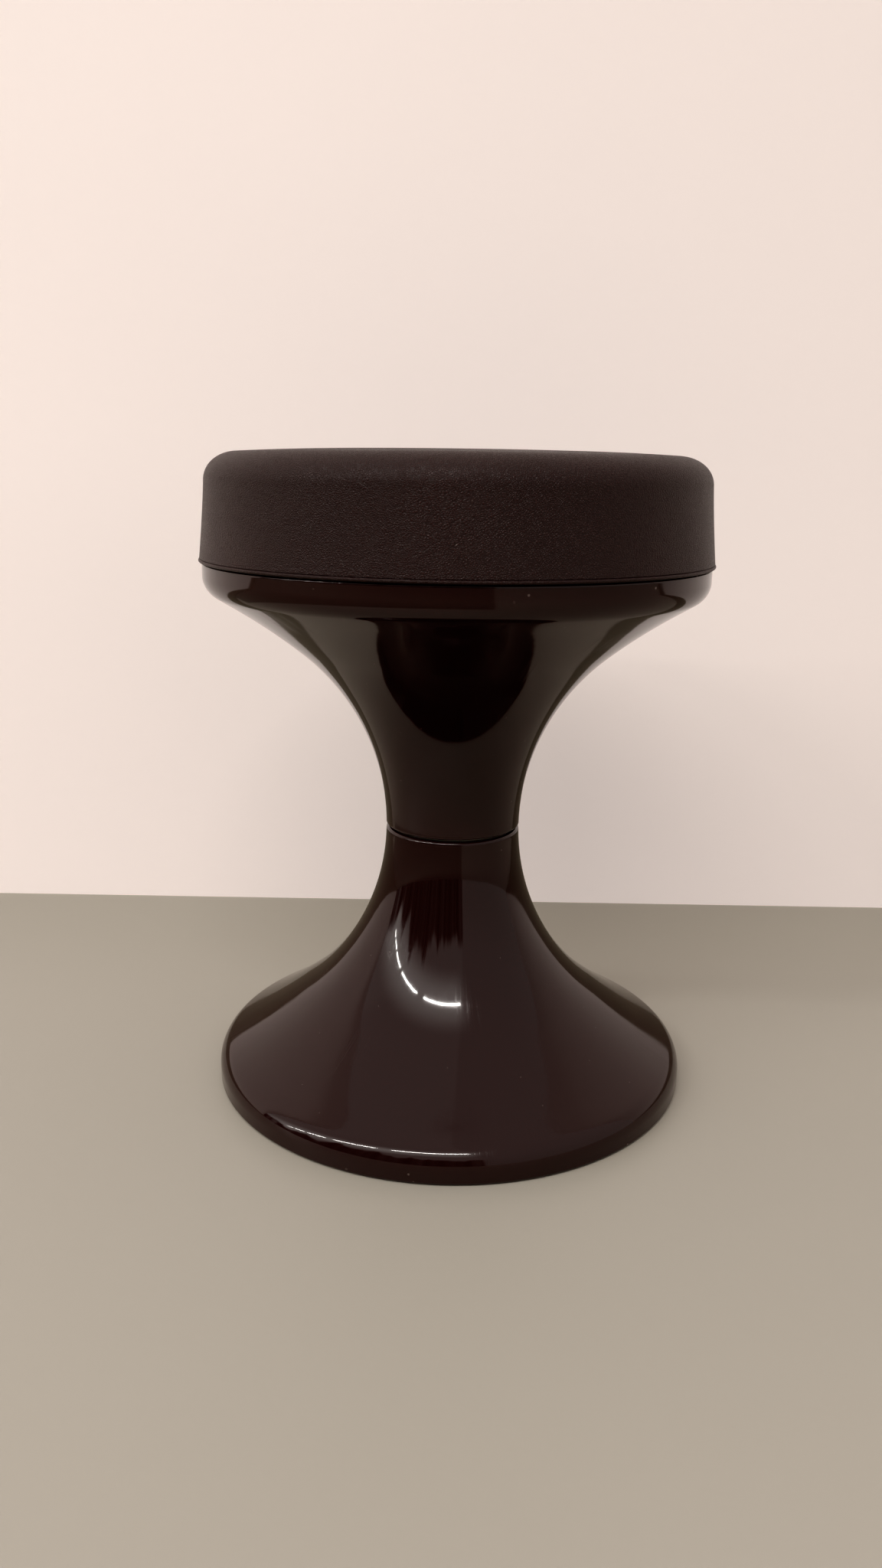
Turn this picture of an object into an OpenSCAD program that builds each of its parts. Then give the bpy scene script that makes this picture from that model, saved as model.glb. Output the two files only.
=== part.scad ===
// Swivel storage stool: two equal trumpet-shaped shells meet at a waist, where
// the upper one turns on a bolted pivot. The padded seat is a lift-off lid that
// closes the storage bowl in the upper shell. Origin: floor, on the stool's axis.

/* [Shells] */
// Height of the waist, where the two shells meet
waist_z = 180; // [174:1:190]
// Outer diameter of the foot and of the bowl's rim
rim_d = 330; // [320:1:344]
// Outer diameter of the waist
neck_d = 92; // [90:0.5:96]
// Angle of the flare's straight stretch, from the vertical
flare_angle = 57; // [55:0.5:59]
// Radius that rounds the flare over into the rim
rim_round = 20; // [18:0.5:22]
// Height of the upright band at the rim
band_h = 6.4; // [5.6:0.2:8]
// Wall thickness of both shells
wall = 4; // [3.5:0.1:4.5]
// Height of the open groove round the waist
groove_h = 1.6; // [1.2:0.1:2.2]

/* [Seat pad] */
// Height of the pad, from its hem to the middle of its top
pad_h = 70; // [64:1:80]
// Diameter of the pad at its hem
pad_d = 334; // [330:1:338]
// How much narrower the pad is where its top edge starts to round
pad_taper = 4.2; // [3:0.2:6]
// Radius of the pad's top edge
pad_round = 18; // [14:0.5:20]
// How far the middle of the top stands above its edge
pad_crown = 2; // [1.5:0.5:4]
// Thickness of the pad's vinyl skin
skin = 1.5; // [1.2:0.1:1.8]
// Thickness of the plywood board under the foam
board_h = 10; // [8:1:12]

/* [Swivel] */
// Diameter of the pivot bolt
bolt_d = 12; // [10:1:12]
// Length of the pivot bolt under its head
bolt_len = 65; // [65:1:70]
// Outer diameter of the plastic thrust ring
thrust_d = 82; // [80:1:83]
// Thickness of each shell's closed deck at the waist
deck_h = 6; // [5:0.5:7]

/* [Small parts] */
// Number of rubber feet
foot_count = 6; // [4:1:8]
// Number of screws that hold the locating ring
screw_count = 6; // [4:1:8]
// Number of staples that hold the cover's hem
staple_count = 32; // [24:4:40]

/* [Hidden] */
$fn = 128;

shell_color = [0.16, 0.05, 0.06];
vinyl_color = [0.17, 0.11, 0.11];
steel_color = [0.72, 0.73, 0.74];
acetal_color = [0.90, 0.89, 0.84];
rubber_color = [0.07, 0.07, 0.07];

run_gap = 0.3;                // between faces that turn past each other
fit_gap = 0.1;                // round a piece that sits in a pocket

// The trumpet curve, in a plane: x is the distance from the axis and y the height
// above a virtual rim plane. From the rim: an upright band, a convex rounding, a
// straight cone and a concave arc that is upright where it meets the waist.
rim_r = rim_d / 2;
neck_r = neck_d / 2;
flare_c = cos(flare_angle);
flare_s = sin(flare_angle);
flare_x = rim_r - neck_r - rim_round * (1 - flare_c);
flare_y = waist_z - band_h - rim_round * flare_s;
flare_r = (flare_y * flare_s - flare_x * flare_c) / (1 - flare_c);
foot_trim = 1;                // the foot's edge stands this far off the floor
rim_trim = 1.2;               // trimmed off the bowl's rim
bowl_rim_z = 2 * waist_z - rim_trim;
waist_lip = 1.2;              // rounds both shells' edges at the waist

base_top_z = waist_z - groove_h / 2;
bowl_low_z = waist_z + groove_h / 2;

// The pivot, from below: head, washer, boss, deck, sleeve through the bush, washers, nut.
bolt_r = bolt_d / 2;
thread_gap = 0.2;
boss_h = 14;                  // boss under the base shell's deck
boss_r = 18;
gusset_count = 6;
gusset_t = 3;
gusset_r = 40;
big_washer_h = 2.5;
big_washer_r = 17;
head_h = 7.5;
head_af = 18;
bolt_low_z = base_top_z - deck_h - boss_h - big_washer_h;
bolt_bevel = 1;
thrust_r = thrust_d / 2;
thrust_bore_r = 27;
thrust_sink = 2;              // depth of the pocket in each deck
bush_r = 12;
bush_bore_r = 9.06;
bush_flange_r = 19;
bush_flange_h = 2.5;
bowl_boss_h = 8;
bowl_boss_r = 20;
bush_top_z = bowl_low_z + deck_h + bowl_boss_h + bush_flange_h;
sleeve_top_z = bush_top_z + run_gap;
sleeve_r = 9;
spring_h = 3;
spring_r = 10.5;
spring_slit = 2;
nut_h = 9.5;
nut_af = 19;
insert_h = 2.5;               // nylon ring in the nut's collar
insert_r = 8;
nut_low_z = sleeve_top_z + big_washer_h + spring_h;
cap_wall = 2;
cap_low_z = bowl_low_z + deck_h + 1;
cap_shoulder_z = bolt_low_z + bolt_len - 5;
cap_round = 10;
cap_r = bowl_boss_r + cap_wall;

// Rubber feet in blind sockets inside the foot's edge.
foot_r = 7.5;
foot_head_h = 3.5;
foot_stem_r = 4;
foot_stem_h = 7;
foot_bevel = 0.8;
foot_boss_r = 8.5;
foot_boss_h = 9;
foot_ring_r = rim_r - wall - foot_boss_r;

// The seat pad, from below: hem, board, foam, with the skin outside.
lid_gap = 0.4;                // between the bowl's rim and the hem
pad_low_z = bowl_rim_z + lid_gap;
pad_r = pad_d / 2;
board_low_z = pad_low_z + skin;
board_top_z = board_low_z + board_h;
lip_h = 2.2;                  // moulded lip along the hem
lip_out = 0.8;
shoulder_z = pad_h - pad_crown - pad_round;
shoulder_r = pad_r - lip_out - pad_taper;
crown_r = shoulder_r - pad_round;
crown_arc_r = (crown_r * crown_r + pad_crown * pad_crown) / (2 * pad_crown);
hem_in_r = pad_r - 29;        // inner edge of the hem, which is turned under the board
board_r = pad_r - lip_out - skin - pad_taper * board_h / shoulder_z - 2 * fit_gap;

ring_r = rim_r - wall - 2.5;  // the ring drops into the bowl with room to spare
ring_wall = 3;
ring_drop = 10;
ring_flange_w = 12;
ring_flange_h = 2.5;
screw_circle_r = ring_r - ring_wall - 4.5;
screw_r = 2;
screw_head_r = 4;
screw_head_h = 2;
screw_len = 12;
staple_r = hem_in_r + 4;
staple_w = 10;
staple_wire = 0.6;
staple_leg = 6;
liner_r = hem_in_r - 1;

// Repeats a child at equal angles round the axis.
module ring_of(count, radius, start = 0) {
    for (i = [0:count - 1])
        rotate([0, 0, start + i * 360 / count]) translate([radius, 0, 0]) children();
}

// Washer or collar standing on z.
module collar(z, height, outer, inner) {
    translate([0, 0, z]) difference() {
        cylinder(r = outer, h = height);
        translate([0, 0, -1]) cylinder(r = inner, h = height + 2);
    }
}

// Hexagonal head or nut of a given width across flats. Its corners are chamfered
// at 30 degrees on the side that dir points to: 1 is up and -1 is down.
module hexagon(width, height, dir) {
    flat_r = width / 2 * 0.96;
    intersection() {
        cylinder(d = width / cos(30), h = height, $fn = 6);
        translate([0, 0, dir > 0 ? 0 : height]) mirror([0, 0, dir > 0 ? 0 : 1])
            rotate_extrude() polygon([[0, 0], [width, 0], [width, height - (width - flat_r) * tan(30)],
                                      [flat_r, height], [0, height]]);
    }
}

// Plane region between the axis and the trumpet curve moved inwards by t.
module trumpet_region(t) {
    round_y = band_h + (rim_round - t) * flare_s;
    round_x = rim_r - rim_round + (rim_round - t) * flare_c;
    cone_x = neck_r + flare_r - (flare_r + t) * flare_c;
    cone_y = waist_z - (flare_r + t) * flare_s;
    difference() {
        union() {
            polygon([[0, -1], [rim_r - t, -1], [rim_r - t, band_h], [round_x, round_y],
                     [cone_x, cone_y], [neck_r - t, waist_z], [0, waist_z]]);
            translate([rim_r - rim_round, band_h]) intersection() {
                circle(rim_round - t);
                square(rim_round);
            }
        }
        translate([neck_r + flare_r, waist_z]) circle(flare_r + t, $fn = 512);
    }
}

// Hollow trumpet shell with its rim down, from the rim trim up to a cut height.
module trumpet_shell(trim, top) {
    rotate_extrude() intersection() {
        difference() {
            trumpet_region(0);
            trumpet_region(wall);
        }
        translate([1, trim]) square([rim_r, top - trim]);
    }
}

// Closed deck across the neck, with a pocket for the thrust ring in its outer face.
module deck(face_z, dir, pocket_gap) {
    low = dir > 0 ? face_z - deck_h : face_z;
    pocket_z = dir > 0 ? face_z - thrust_sink : face_z - 1;
    difference() {
        translate([0, 0, low]) cylinder(r = neck_r - wall / 2, h = deck_h);
        collar(pocket_z, thrust_sink + 1, thrust_r + pocket_gap, thrust_bore_r - pocket_gap);
    }
}

// Ring that rounds the outer edge at the top of a trumpet shell.
module waist_rounding(low) {
    rotate_extrude() translate([neck_r - waist_lip, low]) difference() {
        square(waist_lip + 1);
        circle(waist_lip);
    }
}

module base_shell() {
    color(shell_color) difference() {
        union() {
            trumpet_shell(foot_trim, base_top_z);
            deck(base_top_z, 1, fit_gap);
            translate([0, 0, base_top_z - deck_h - boss_h]) cylinder(r = boss_r, h = boss_h + 1);
            for (i = [0:gusset_count - 1])
                rotate([0, 0, i * 360 / gusset_count])
                    translate([boss_r - 1, -gusset_t / 2, base_top_z - deck_h - boss_h])
                        cube([neck_r - wall / 2 - boss_r + 1, gusset_t, boss_h + 1]);
            ring_of(foot_count, foot_ring_r) foot_boss();
        }
        translate([0, 0, bolt_low_z]) cylinder(r = bolt_r + thread_gap, h = 60);
        ring_of(foot_count, foot_ring_r) translate([0, 0, foot_head_h - 1])
            cylinder(r = foot_stem_r, h = foot_stem_h + 1 + fit_gap);
        waist_rounding(base_top_z - waist_lip);
    }
}

// Socket for one rubber foot, tied to the wall beside it.
module foot_boss() {
    translate([0, 0, foot_head_h]) {
        cylinder(r = foot_boss_r, h = foot_boss_h);
        translate([0, -gusset_t, 0]) cube([foot_boss_r + wall / 2, 2 * gusset_t, foot_boss_h]);
    }
}

module rubber_feet() {
    color(rubber_color) ring_of(foot_count, foot_ring_r) {
        cylinder(r1 = foot_r - foot_bevel, r2 = foot_r, h = foot_bevel);
        translate([0, 0, foot_bevel]) cylinder(r = foot_r, h = foot_head_h - foot_bevel);
        translate([0, 0, foot_head_h]) cylinder(r = foot_stem_r, h = foot_stem_h);
    }
}

module pivot_bolt() {
    color(steel_color) {
        translate([0, 0, bolt_low_z - head_h]) hexagon(head_af, head_h, -1);
        translate([0, 0, bolt_low_z]) cylinder(r = bolt_r, h = bolt_len - bolt_bevel);
        translate([0, 0, bolt_low_z + bolt_len - bolt_bevel])
            cylinder(r1 = bolt_r, r2 = bolt_r - bolt_bevel, h = bolt_bevel);
    }
}

module bolt_head_washer() {
    color(steel_color) collar(bolt_low_z, big_washer_h, big_washer_r, bolt_r + thread_gap);
}

module pivot_sleeve() {
    color(steel_color)
        collar(base_top_z, sleeve_top_z - base_top_z, sleeve_r, bolt_r + thread_gap);
}

module thrust_ring() {
    color(acetal_color)
        collar(base_top_z - thrust_sink, groove_h + 2 * thrust_sink - run_gap, thrust_r, thrust_bore_r);
}

module top_washer() {
    color(steel_color) collar(sleeve_top_z, big_washer_h, big_washer_r, bolt_r + thread_gap);
}

module spring_washer() {
    color(steel_color) difference() {
        collar(sleeve_top_z + big_washer_h, spring_h, spring_r, bolt_r + thread_gap);
        translate([0, -spring_slit / 2, sleeve_top_z + big_washer_h - 1])
            cube([spring_r + 1, spring_slit, spring_h + 2]);
    }
}

module lock_nut() {
    color(steel_color) difference() {
        union() {
            translate([0, 0, nut_low_z]) hexagon(nut_af, nut_h, 1);
            translate([0, 0, nut_low_z + nut_h]) cylinder(r = insert_r + 1, h = insert_h);
        }
        translate([0, 0, nut_low_z - 1]) cylinder(r = bolt_r, h = nut_h + insert_h + 2);
        translate([0, 0, nut_low_z + nut_h]) cylinder(r = insert_r, h = insert_h + 1);
    }
}

module nut_insert() {
    color(acetal_color) collar(nut_low_z + nut_h, insert_h, insert_r, bolt_r);
}

module bowl_shell() {
    color(shell_color) difference() {
        union() {
            translate([0, 0, 2 * waist_z]) mirror([0, 0, 1])
                trumpet_shell(rim_trim, waist_z - groove_h / 2);
            deck(bowl_low_z, -1, run_gap);
            translate([0, 0, bowl_low_z + deck_h - 1]) cylinder(r = bowl_boss_r, h = bowl_boss_h + 1);
        }
        translate([0, 0, bowl_low_z - 1]) cylinder(r = bush_r, h = deck_h + bowl_boss_h + 2);
        translate([0, 0, 2 * waist_z]) mirror([0, 0, 1]) waist_rounding(base_top_z - waist_lip);
    }
}

module pivot_bush() {
    color(acetal_color) {
        collar(bowl_low_z, deck_h + bowl_boss_h, bush_r, bush_bore_r);
        collar(bush_top_z - bush_flange_h, bush_flange_h, bush_flange_r, bush_bore_r);
    }
}

// Snap-on dome over the nut: a skirt, a rounded shoulder and a flat top.
module nut_cap() {
    color(shell_color) rotate_extrude() difference() {
        cap_region(cap_r, cap_round, cap_shoulder_z);
        cap_region(cap_r - cap_wall, cap_round - cap_wall, cap_shoulder_z);
        translate([-1, 0]) square([cap_r + 2, cap_low_z]);
    }
}

module cap_region(radius, round, shoulder) {
    square([radius, shoulder]);
    square([radius - round, shoulder + round]);
    translate([radius - round, shoulder]) intersection() {
        circle(round);
        square(round);
    }
}

module locating_ring() {
    color(shell_color) difference() {
        union() {
            collar(pad_low_z - ring_drop, ring_drop, ring_r, ring_r - ring_wall);
            collar(pad_low_z - ring_flange_h, ring_flange_h, ring_r - 1, ring_r - ring_flange_w);
        }
        ring_of(screw_count, screw_circle_r, 30) translate([0, 0, pad_low_z - ring_flange_h - 1])
            cylinder(r = screw_r + thread_gap, h = ring_flange_h + 2);
    }
}

module ring_screws() {
    color(steel_color) ring_of(screw_count, screw_circle_r, 30) {
        translate([0, 0, pad_low_z - ring_flange_h - screw_head_h])
            cylinder(r1 = screw_head_r - 1, r2 = screw_head_r, h = screw_head_h);
        translate([0, 0, pad_low_z - ring_flange_h]) cylinder(r = screw_r, h = screw_len - 2);
        translate([0, 0, pad_low_z - ring_flange_h + screw_len - 2])
            cylinder(r1 = screw_r, r2 = 0.3, h = 2);
    }
}

// Wire staples: a crown under the hem and two legs driven up into the board.
module cover_staples() {
    color(steel_color) ring_of(staple_count, staple_r, 2)
        translate([-staple_wire / 2, -staple_w / 2, pad_low_z - staple_wire]) {
            cube([staple_wire, staple_w, staple_wire]);
            for (y = [0, staple_w - staple_wire])
                translate([0, y, 0]) cube([staple_wire, staple_wire, staple_leg]);
        }
}

module underside_liner() {
    color(rubber_color) translate([0, 0, pad_low_z]) cylinder(r = liner_r, h = skin - fit_gap);
}

module seat_board() {
    color("burlywood") translate([0, 0, board_low_z]) cylinder(r = board_r, h = board_h);
}

// Plane region of the pad, moved inwards by t: a tapered side, a rounded edge and a domed top.
module pad_region(t) {
    dome_y = pad_h - crown_arc_r;
    intersection() {
        union() {
            polygon([[0, t], [pad_r - lip_out - t, t], [shoulder_r - t, shoulder_z],
                     [shoulder_r - pad_round, shoulder_z + pad_round - t], [0, pad_h]]);
            translate([crown_r, shoulder_z]) intersection() {
                circle(pad_round - t);
                square(pad_round);
            }
            translate([0, t]) square([crown_r, pad_h - t]);
        }
        translate([0, dome_y]) circle(crown_arc_r - t, $fn = 4096);
    }
}

module seat_foam() {
    color("khaki") translate([0, 0, pad_low_z]) rotate_extrude() intersection() {
        pad_region(skin + 0.05);
        translate([0, board_top_z - pad_low_z]) square([pad_r, pad_h]);
    }
}

module seat_cover() {
    color(vinyl_color) translate([0, 0, pad_low_z]) rotate_extrude() {
        difference() {
            pad_region(0);
            translate([-1, -1]) square([hem_in_r + 1, board_h]);
            pad_region(skin);
        }
        translate([pad_r - lip_out - skin, 0]) square([lip_out + skin, lip_h]);
    }
}

base_shell();
rubber_feet();
pivot_bolt();
bolt_head_washer();
pivot_sleeve();
thrust_ring();
top_washer();
spring_washer();
lock_nut();
nut_insert();
bowl_shell();
pivot_bush();
nut_cap();
locating_ring();
ring_screws();
cover_staples();
underside_liner();
seat_board();
seat_foam();
seat_cover();
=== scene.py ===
"""Looks of the swivel storage stool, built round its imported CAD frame.

Two glossy trumpet shells are turned as closed walls, the lift-off lid gets its
grained vinyl cover, foam and liner, and the pivot's hardware keeps its CAD meshes
under better finishes. Lengths are metres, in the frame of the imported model.
"""

import logging
import math
from collections.abc import Sequence
from dataclasses import dataclass
from enum import Enum
from functools import reduce

import bpy
import numpy as np
from bpy.types import Material, NodeSocket, NodeTree, Object, World
from mathutils import Matrix, Vector

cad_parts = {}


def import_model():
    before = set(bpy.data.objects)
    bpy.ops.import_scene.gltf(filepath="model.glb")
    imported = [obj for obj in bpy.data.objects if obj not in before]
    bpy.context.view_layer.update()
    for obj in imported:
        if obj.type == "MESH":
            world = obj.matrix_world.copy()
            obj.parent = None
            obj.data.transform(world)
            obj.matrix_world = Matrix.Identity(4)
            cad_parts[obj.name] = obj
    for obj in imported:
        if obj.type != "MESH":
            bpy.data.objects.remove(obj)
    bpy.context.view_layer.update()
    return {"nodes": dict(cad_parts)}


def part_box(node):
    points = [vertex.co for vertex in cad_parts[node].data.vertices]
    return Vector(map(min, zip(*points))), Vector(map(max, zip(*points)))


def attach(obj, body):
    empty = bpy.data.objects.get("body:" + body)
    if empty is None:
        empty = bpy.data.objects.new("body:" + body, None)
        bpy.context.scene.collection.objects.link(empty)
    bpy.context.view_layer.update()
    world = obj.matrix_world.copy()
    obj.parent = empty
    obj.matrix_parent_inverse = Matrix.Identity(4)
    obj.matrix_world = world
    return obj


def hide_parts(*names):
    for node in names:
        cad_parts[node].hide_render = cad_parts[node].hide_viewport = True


LOG = logging.getLogger("stool")
MM = 0.001
Colour = tuple[float, float, float]
Named = dict[str, object]
Inputs = dict[int | str, object]


class Body(Enum):
    """The bodies of the frame that pieces ride on."""

    BASE = "base"
    BOWL = "bowl"
    LID = "lid"


class Slot(Enum):
    """The record's material slots; no piece in this script takes its finish from them."""

    SHELL = "shell_plastic"
    VINYL = "seat_vinyl"
    FOAM = "foam"
    LINER = "liner_fabric"


# ---- shader trees


class Wire:
    """Output socket of a shader node, with arithmetic that adds Math nodes."""

    def __init__(self, tree: NodeTree, socket: NodeSocket) -> None:
        """Wraps one output socket of a node in the given tree."""
        self.tree = tree
        self.socket = socket

    def other(self, output: str) -> "Wire":
        """Another output of the same node, by its name."""
        return Wire(self.tree, self.socket.node.outputs[output])

    def math(self, operation: str, *values: "Wire | float") -> "Wire":
        """Result of a Math node of an operation, with values as its inputs in order."""
        return add_node(self.tree, "Math", {"operation": operation}, dict(enumerate(values)))

    def __add__(self, other: "Wire | float") -> "Wire":
        """Sum."""
        return self.math("ADD", self, other)

    def __radd__(self, other: float) -> "Wire":
        """Sum, with a number first."""
        return self.math("ADD", other, self)

    def __sub__(self, other: "Wire | float") -> "Wire":
        """Difference."""
        return self.math("SUBTRACT", self, other)

    def __rsub__(self, other: float) -> "Wire":
        """Difference, with a number first."""
        return self.math("SUBTRACT", other, self)

    def __mul__(self, other: "Wire | float") -> "Wire":
        """Product."""
        return self.math("MULTIPLY", self, other)

    def __rmul__(self, other: float) -> "Wire":
        """Product, with a number first."""
        return self.math("MULTIPLY", other, self)

    def __truediv__(self, other: "Wire | float") -> "Wire":
        """Quotient."""
        return self.math("DIVIDE", self, other)

    def __pow__(self, other: float) -> "Wire":
        """Power."""
        return self.math("POWER", self, other)

    def __abs__(self) -> "Wire":
        """Size without its sign."""
        return self.math("ABSOLUTE", self)

    def between(self, low: float, high: float) -> "Wire":
        """Smooth step from 0 at low to 1 at high; it falls where low is the larger."""
        flipped = low > high
        limits = {1: min(low, high), 2: max(low, high), 3: float(flipped), 4: float(not flipped)}
        settings = {"interpolation_type": "SMOOTHSTEP"}
        return add_node(self.tree, "MapRange", settings, {0: self, **limits})

    def window(self, low: float, high: float, below: float, above: float) -> "Wire":
        """1 from low to high, falling smoothly to 0 over below and above outside them."""
        return self.between(low - below, low) * self.between(high + above, high)


def add_node(
    tree: NodeTree, kind: str, settings: Named, inputs: Inputs, output: int | str = 0
) -> Wire:
    """Adds one node: its settings first, then its sockets.

    Args:
        tree: the node tree.
        kind: the node's type name, after the words ShaderNode.
        settings: properties such as an operation.
        inputs: a value or a Wire for each input socket, by number or name.
        output: the output that is wanted.

    Returns:
        That output.
    """
    node = tree.nodes.new("ShaderNode" + kind)
    for name, value in settings.items():
        setattr(node, name, value)
    for key, value in inputs.items():
        if isinstance(value, Wire):
            tree.links.new(value.socket, node.inputs[key])
        else:
            node.inputs[key].default_value = value
    return Wire(tree, node.outputs[output])


class Paint:
    """A material or world under construction, with the patterns that the finishes share."""

    def __init__(self, owner: Material | World, coordinate: str = "Object") -> None:
        """Empties the owner's node tree and takes the coordinates that its patterns read."""
        self.owner = owner
        owner.use_nodes = True
        self.tree = owner.node_tree
        self.tree.nodes.clear()
        self.place = self.node("TexCoord", {}, {}, coordinate)

    def node(self, kind: str, settings: Named, inputs: Inputs, output: int | str = 0) -> Wire:
        """Adds a node of any kind; see add_node."""
        return add_node(self.tree, kind, settings, inputs, output)

    def split(self, vector: Wire) -> tuple[Wire, Wire, Wire]:
        """The three parts of a vector."""
        first = self.node("SeparateXYZ", {}, {0: vector})
        return first, first.other("Y"), first.other("Z")

    def join(self, x: Wire | float, y: Wire | float, z: Wire | float) -> Wire:
        """A vector from its three parts."""
        return self.node("CombineXYZ", {}, {0: x, 1: y, 2: z})

    def scaled(self, x: float, y: float, z: float) -> Wire:
        """The object's own coordinates, stretched along each axis."""
        settings = {"operation": "MULTIPLY"}
        return self.node("VectorMath", settings, {0: self.place, 1: (x, y, z)})

    def turned(self, scale: float) -> Wire:
        """Fine rings round the vertical axis, as a lathe leaves them, at a scale per metre."""
        x, y, z = self.split(self.place)
        radius = (x * x + y * y) ** 0.5
        return self.noise(1.0, 1.0, self.join(radius * scale, z * scale, 0.0))

    def noise(self, scale: float, detail: float = 2.0, vector: Wire | None = None) -> Wire:
        """Soft noise from 0 to 1, with scale features per metre and detail finer layers."""
        inputs = {"Vector": vector or self.place, "Scale": scale, "Detail": detail}
        return self.node("TexNoise", {}, inputs)

    def cells(self, scale: float, feature: str = "F1", vector: Wire | None = None) -> Wire:
        """Distance to the nearest of scale points per metre (F1), or to its cell's edge.

        With F1 its Color output is random in each cell.
        """
        inputs = {"Vector": vector or self.place, "Scale": scale}
        return self.node("TexVoronoi", {"feature": feature}, inputs)

    def specks(self, scale: float, size: float, share: float) -> Wire:
        """Sparse round specks.

        Args:
            scale: cells per metre, of which each holds at most one speck.
            size: radius of a speck, as a share of a cell.
            share: share of the cells that hold one.

        Returns:
            1 on a speck and 0 elsewhere.
        """
        distance = self.cells(scale)
        chosen = self.split(distance.other("Color"))[0].between(1 - share, 1 - share * 0.9)
        return distance.between(size, size * 0.6) * chosen

    def blend(self, factor: Wire | float, low: Wire | Colour, high: Wire | Colour) -> Wire:
        """Mix of two colours: low where the factor is 0 and high where it is 1."""
        low, high = (c if isinstance(c, Wire) else (*c, 1.0) for c in (low, high))
        settings = {"data_type": "RGBA", "clamp_factor": True}
        return self.node("Mix", settings, {0: factor, 6: low, 7: high}, 2)

    def bump(self, height: Wire, distance: float, base: Wire | None = None) -> Wire:
        """Normal of a height pattern that is distance tall at 1, over the bump base if given."""
        inputs = {"Height": height, "Distance": distance, "Strength": 1.0}
        return self.node("Bump", {}, inputs | ({"Normal": base} if base else {}))

    def finish(self, shader: Named) -> Material:
        """Ends the material in a Principled shader with the given inputs."""
        return self.close(self.node("BsdfPrincipled", {}, shader))

    def close(self, surface: Wire) -> Material | World:
        """Links a shader to the output, and returns the finished material or world."""
        world = isinstance(self.owner, World)
        output = self.tree.nodes.new("ShaderNodeOutputWorld" if world else "ShaderNodeOutputMaterial")
        self.tree.links.new(surface.socket, output.inputs["Surface"])
        return self.owner


# ---- finishes


class Finish:
    """A finish with a name; each kind says what its Principled shader is given."""

    name: str

    def shader(self, paint: Paint) -> Named:
        """The shader's inputs, as values or Wires."""
        raise NotImplementedError

    def material(self) -> Material:
        """Builds the material."""
        paint = Paint(bpy.data.materials.new(self.name))
        return paint.finish(self.shader(paint))


@dataclass(frozen=True)
class GlossShell(Finish):
    """Polished maroon moulding, with smudges, hairline scratches, dust and edge nicks."""

    name: str
    band_low: float
    band_high: float
    colour: Colour = (0.0195, 0.0048, 0.0043)
    dusty: Colour = (0.16, 0.13, 0.115)
    gloss: float = 0.055

    def shader(self, paint: Paint) -> Named:
        """The shader's inputs."""
        x, y, z = paint.split(paint.place)
        radius = (x * x + y * y) ** 0.5
        fine = paint.join(x / radius * 70, y / radius * 70, z * 9)
        thread = 1 - abs(paint.noise(1.0, 1.0, fine) - 0.5).between(0.0, 0.012)
        worn = paint.noise(17.0, 2.0).between(0.5, 0.66)
        hairline = thread * worn
        smudge = paint.noise(9.0, 4.0).between(0.42, 0.72)
        dust = paint.specks(150.0, 0.055, 0.16)
        on_band = z.window(self.band_low, self.band_high, 2 * MM, 2 * MM)
        nick = paint.specks(260.0, 0.26, 0.05) * on_band * paint.noise(30.0).between(0.45, 0.6)
        mark = dust.math("MAXIMUM", dust, nick)
        deep = tuple(0.82 * c for c in self.colour)
        tone = paint.blend(paint.noise(6.0, 3.0), deep, self.colour)
        ripple = paint.bump(paint.noise(140.0, 1.0), 0.012 * MM)
        normal = paint.bump(1 - hairline, 0.006 * MM, ripple)
        return {
            "Base Color": paint.blend(mark * 0.85, tone, self.dusty),
            "Roughness": self.gloss + smudge * 0.045 + hairline * 0.16 + mark * 0.5,
            "IOR": 1.5,
            "Normal": normal,
        }


@dataclass(frozen=True)
class GrainedVinyl(Finish):
    """Upholstery vinyl with a fine pebble grain."""

    name: str = "aubergine_vinyl"
    ridge: Colour = (0.0360, 0.0140, 0.0130)
    groove: Colour = (0.0170, 0.0066, 0.0062)
    dusty: Colour = (0.17, 0.14, 0.125)
    grain: float = 1.15 * MM

    def shader(self, paint: Paint) -> Named:
        """The shader's inputs."""
        wander = self.wandering(paint)
        pebble = paint.cells(1 / self.grain, "DISTANCE_TO_EDGE", wander).between(0.0, 0.3)
        pore = paint.noise(3.2 / self.grain, 2.0)
        rubbed = paint.noise(11.0, 4.0).between(0.35, 0.75)
        dust = paint.specks(120.0, 0.05, 0.1)
        tone = paint.blend(pebble * (0.55 + rubbed * 0.45), self.groove, self.ridge)
        height = pebble * 0.8 + pore * 0.2
        broad = paint.bump(paint.noise(32.0, 2.0), 0.25 * MM)
        return {
            "Base Color": paint.blend(dust, tone, self.dusty),
            "Roughness": 0.46 - pebble * 0.1 + pore * 0.06 - rubbed * 0.04,
            "IOR": 1.45,
            "Specular IOR Level": 0.42,
            "Normal": paint.bump(height, 0.24 * MM, broad),
        }

    def wandering(self, paint: Paint) -> Wire:
        """Object coordinates pushed about a little, so that the pebbles differ in shape."""
        push = paint.node("TexNoise", {}, {"Vector": paint.place, "Scale": 420.0}, "Color")
        inputs = {0: push, 1: (0.6 * MM,) * 3, 2: paint.place}
        return paint.node("VectorMath", {"operation": "MULTIPLY_ADD"}, inputs)


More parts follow.
